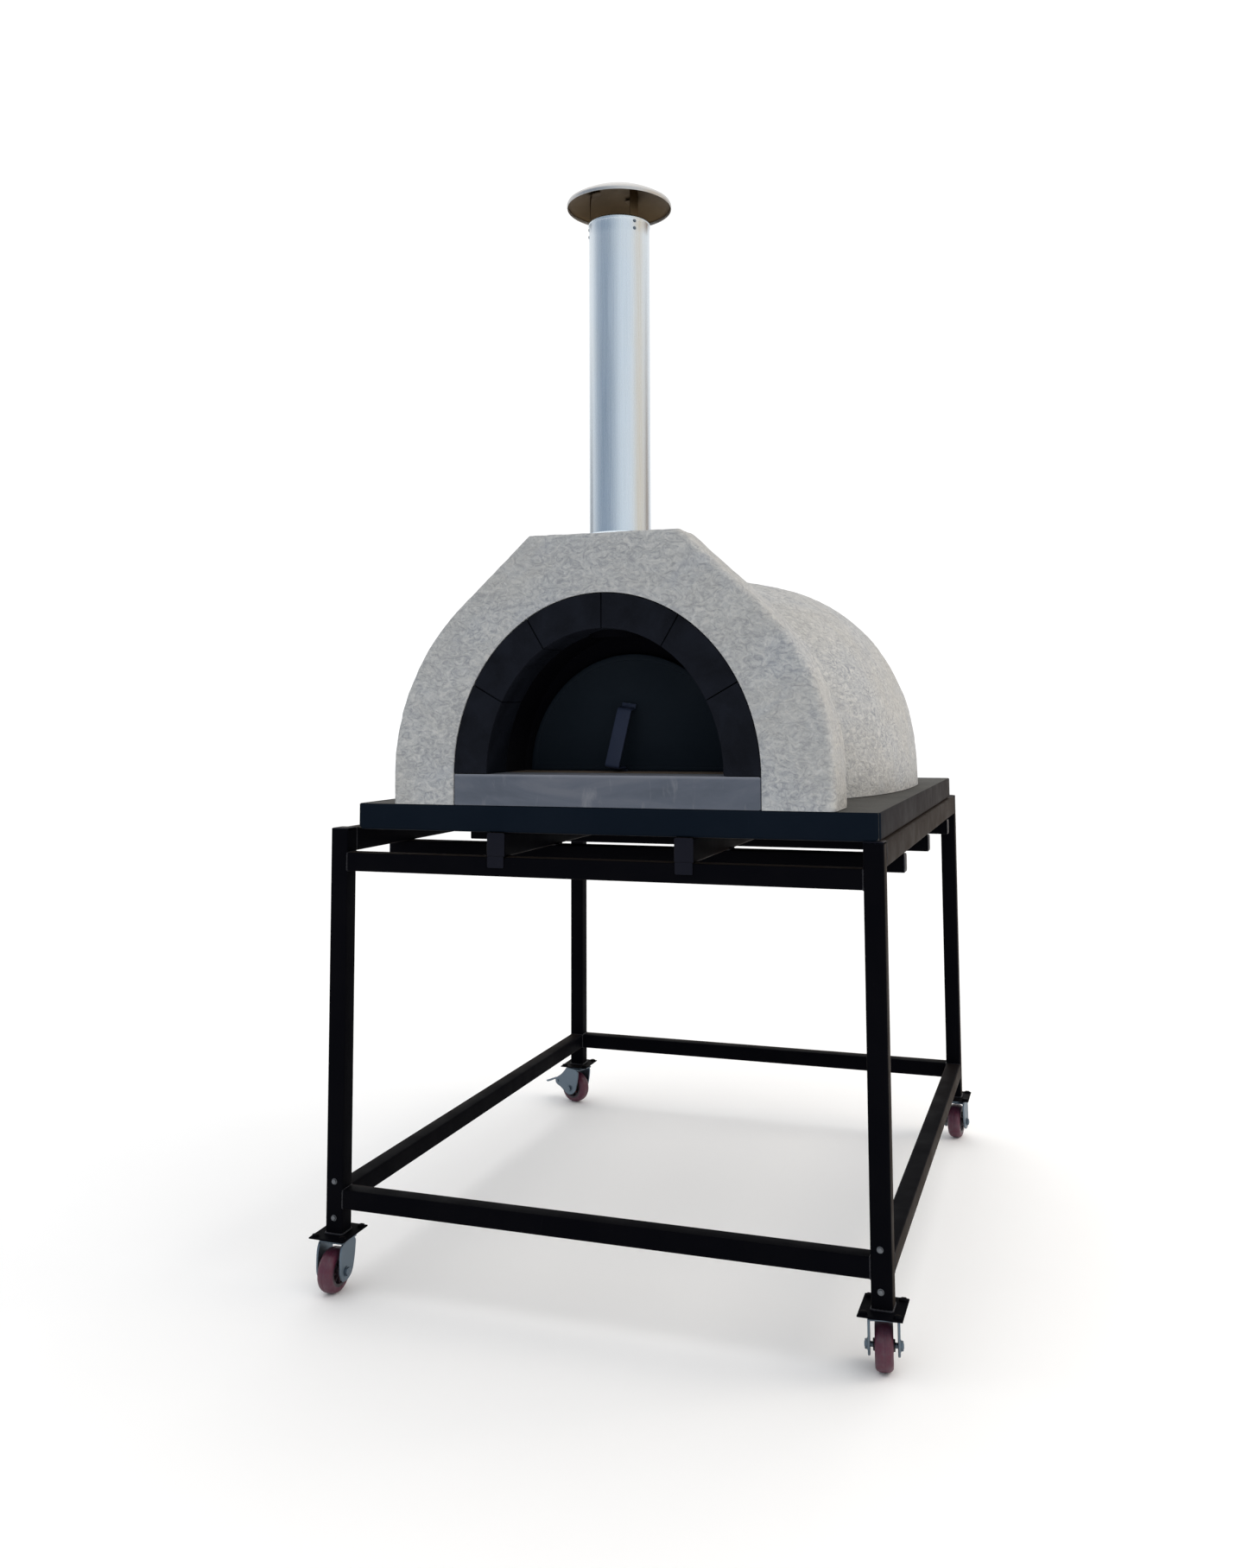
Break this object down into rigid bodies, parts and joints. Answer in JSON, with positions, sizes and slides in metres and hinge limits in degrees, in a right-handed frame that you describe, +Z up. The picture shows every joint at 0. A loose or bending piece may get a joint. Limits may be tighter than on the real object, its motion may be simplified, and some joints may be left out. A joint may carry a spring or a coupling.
{
  "type": "wood fired pizza oven",
  "caption": "Domed wood fired oven with a brick arch mouth, a lift-out door and a capped flue, on a square tube stand that rolls on swivel casters.",
  "frame": {"origin": "on the floor under the middle of the stand", "axes": "+Z up; the oven's mouth faces -Y; +X is to the right of someone facing the mouth"},
  "size_m": [1.3208, 1.481, 2.365],
  "materials": {
    "arch_brick_1": "matt black fire brick",
    "arch_brick_2": "matt black fire brick",
    "arch_brick_3": "matt black fire brick",
    "arch_brick_4": "matt black fire brick",
    "arch_brick_5": "matt black fire brick",
    "arch_brick_6": "matt black fire brick",
    "base_slab": "cast refractory concrete, dark stained",
    "base_tray": "satin black paint on sheet steel",
    "bed_rail_left": "satin black paint on square steel tube",
    "bed_rail_right": "satin black paint on square steel tube",
    "cap_bracket": "brushed stainless steel",
    "caster_front_left_axle": "bright zinc plating",
    "caster_front_left_core": "moulded wheel core",
    "caster_front_left_fork": "bright zinc plating",
    "caster_front_left_plate": "satin black paint on steel plate",
    "caster_front_left_tread": "dark red polyurethane tread",
    "caster_front_right_axle": "bright zinc plating",
    "caster_front_right_core": "moulded wheel core",
    "caster_front_right_fork": "bright zinc plating",
    "caster_front_right_plate": "satin black paint on steel plate",
    "caster_front_right_tread": "dark red polyurethane tread",
    "caster_rear_left_axle": "bright zinc plating",
    "caster_rear_left_core": "moulded wheel core",
    "caster_rear_left_fork": "bright zinc plating",
    "caster_rear_left_pedal": "bright zinc plating",
    "caster_rear_left_plate": "satin black paint on steel plate",
    "caster_rear_left_tread": "dark red polyurethane tread",
    "caster_rear_right_axle": "bright zinc plating",
    "caster_rear_right_core": "moulded wheel core",
    "caster_rear_right_fork": "bright zinc plating",
    "caster_rear_right_plate": "satin black paint on steel plate",
    "caster_rear_right_tread": "dark red polyurethane tread",
    "cross_tube_1": "satin black paint on square steel tube",
    "cross_tube_2": "satin black paint on square steel tube",
    "cross_tube_3": "satin black paint on square steel tube",
    "door_handle": "matt black heat resistant paint on steel",
    "door_panel": "matt black heat resistant paint on steel",
    "facade": "swirled grey cement render",
    "flue_collar": "brushed stainless steel",
    "flue_pipe": "brushed stainless steel",
    "gallery": "swirled grey cement render",
    "hearth_floor": "fire brick floor, sooted",
    "hearth_sill": "blue grey stone, honed",
    "insulation_blanket": "ceramic fibre blanket",
    "insulation_board": "light insulation board",
    "leg_front_left": "satin black paint on square steel tube",
    "leg_front_right": "satin black paint on square steel tube",
    "leg_rear_left": "satin black paint on square steel tube",
    "leg_rear_right": "satin black paint on square steel tube",
    "lower_rail_front": "satin black paint on square steel tube",
    "lower_rail_left": "satin black paint on square steel tube",
    "lower_rail_rear": "satin black paint on square steel tube",
    "lower_rail_right": "satin black paint on square steel tube",
    "rain_cap": "brushed stainless steel",
    "refractory_dome": "cast refractory",
    "render_shell": "swirled grey cement render",
    "skid_left": "satin black paint on square steel tube",
    "skid_right": "satin black paint on square steel tube",
    "upper_rail_front": "satin black paint on square steel tube",
    "upper_rail_rear": "satin black paint on square steel tube"
  },
  "bodies": {
    "oven": {"arch_brick_1": "arch_brick_1", "arch_brick_2": "arch_brick_2", "arch_brick_3": "arch_brick_3", "arch_brick_4": "arch_brick_4", "arch_brick_5": "arch_brick_5", "arch_brick_6": "arch_brick_6", "base_slab": "base_slab", "base_tray": "base_tray", "bed_rail_left": "bed_rail_left", "bed_rail_right": "bed_rail_right", "cap_bracket": "cap_bracket", "caster_front_left_plate": "caster_front_left_plate", "caster_front_right_plate": "caster_front_right_plate", "caster_rear_left_plate": "caster_rear_left_plate", "caster_rear_right_plate": "caster_rear_right_plate", "cross_tube_1": "cross_tube_1", "cross_tube_2": "cross_tube_2", "cross_tube_3": "cross_tube_3", "facade": "facade", "flue_collar": "flue_collar", "flue_pipe": "flue_pipe", "gallery": "gallery", "hearth_floor": "hearth_floor", "hearth_sill": "hearth_sill", "insulation_blanket": "insulation_blanket", "insulation_board": "insulation_board", "leg_front_left": "leg_front_left", "leg_front_right": "leg_front_right", "leg_rear_left": "leg_rear_left", "leg_rear_right": "leg_rear_right", "lower_rail_front": "lower_rail_front", "lower_rail_left": "lower_rail_left", "lower_rail_rear": "lower_rail_rear", "lower_rail_right": "lower_rail_right", "rain_cap": "rain_cap", "refractory_dome": "refractory_dome", "render_shell": "render_shell", "skid_left": "skid_left", "skid_right": "skid_right", "upper_rail_front": "upper_rail_front", "upper_rail_rear": "upper_rail_rear"},
    "door": {"door_panel": "door_panel", "door_handle": "door_handle"},
    "front_left_swivel": {"caster_front_left_fork": "caster_front_left_fork"},
    "front_left_wheel": {"caster_front_left_axle": "caster_front_left_axle", "caster_front_left_core": "caster_front_left_core", "caster_front_left_tread": "caster_front_left_tread"},
    "front_right_swivel": {"caster_front_right_fork": "caster_front_right_fork"},
    "front_right_wheel": {"caster_front_right_axle": "caster_front_right_axle", "caster_front_right_core": "caster_front_right_core", "caster_front_right_tread": "caster_front_right_tread"},
    "rear_left_swivel": {"caster_rear_left_fork": "caster_rear_left_fork"},
    "rear_left_wheel": {"caster_rear_left_axle": "caster_rear_left_axle", "caster_rear_left_core": "caster_rear_left_core", "caster_rear_left_tread": "caster_rear_left_tread"},
    "rear_left_brake": {"caster_rear_left_pedal": "caster_rear_left_pedal"},
    "rear_right_swivel": {"caster_rear_right_fork": "caster_rear_right_fork"},
    "rear_right_wheel": {"caster_rear_right_axle": "caster_rear_right_axle", "caster_rear_right_core": "caster_rear_right_core", "caster_rear_right_tread": "caster_rear_right_tread"}
  },
  "joints": [
    {"name": "door_slide", "type": "slide", "parent": "oven", "child": "door", "axis": [0, -1, 0], "range_m": [0, 0.45]},
    {"name": "front_left_swivel_turn", "type": "hinge", "parent": "oven", "child": "front_left_swivel", "pos_m": [-0.58, -0.68, 0.105], "axis": [0, 0, 1], "continuous": true},
    {"name": "front_left_wheel_spin", "type": "hinge", "parent": "front_left_swivel", "child": "front_left_wheel", "pos_m": [-0.58, -0.694, 0.045], "axis": [1, 0, 0], "continuous": true},
    {"name": "front_right_swivel_turn", "type": "hinge", "parent": "oven", "child": "front_right_swivel", "pos_m": [0.58, -0.68, 0.105], "axis": [0, 0, 1], "continuous": true},
    {"name": "front_right_wheel_spin", "type": "hinge", "parent": "front_right_swivel", "child": "front_right_wheel", "pos_m": [0.57781, -0.66617, 0.045], "axis": [-0.9877, -0.1564, 0], "continuous": true},
    {"name": "rear_left_swivel_turn", "type": "hinge", "parent": "oven", "child": "rear_left_swivel", "pos_m": [-0.58, 0.68, 0.105], "axis": [0, 0, 1], "continuous": true},
    {"name": "rear_left_wheel_spin", "type": "hinge", "parent": "rear_left_swivel", "child": "rear_left_wheel", "pos_m": [-0.59316, 0.68479, 0.045], "axis": [-0.342, -0.9397, 0], "continuous": true},
    {"name": "rear_left_brake_pedal", "type": "hinge", "parent": "rear_left_swivel", "child": "rear_left_brake", "pos_m": [-0.64014, 0.70189, 0.06], "axis": [-0.342, -0.9397, 0], "range_deg": [-22, 0]},
    {"name": "rear_right_swivel_turn", "type": "hinge", "parent": "oven", "child": "rear_right_swivel", "pos_m": [0.58, 0.68, 0.105], "axis": [0, 0, 1], "continuous": true},
    {"name": "rear_right_wheel_spin", "type": "hinge", "parent": "rear_right_swivel", "child": "rear_right_wheel", "pos_m": [0.58146, 0.69392, 0.045], "axis": [-0.9945, 0.1045, 0], "continuous": true}
  ]
}
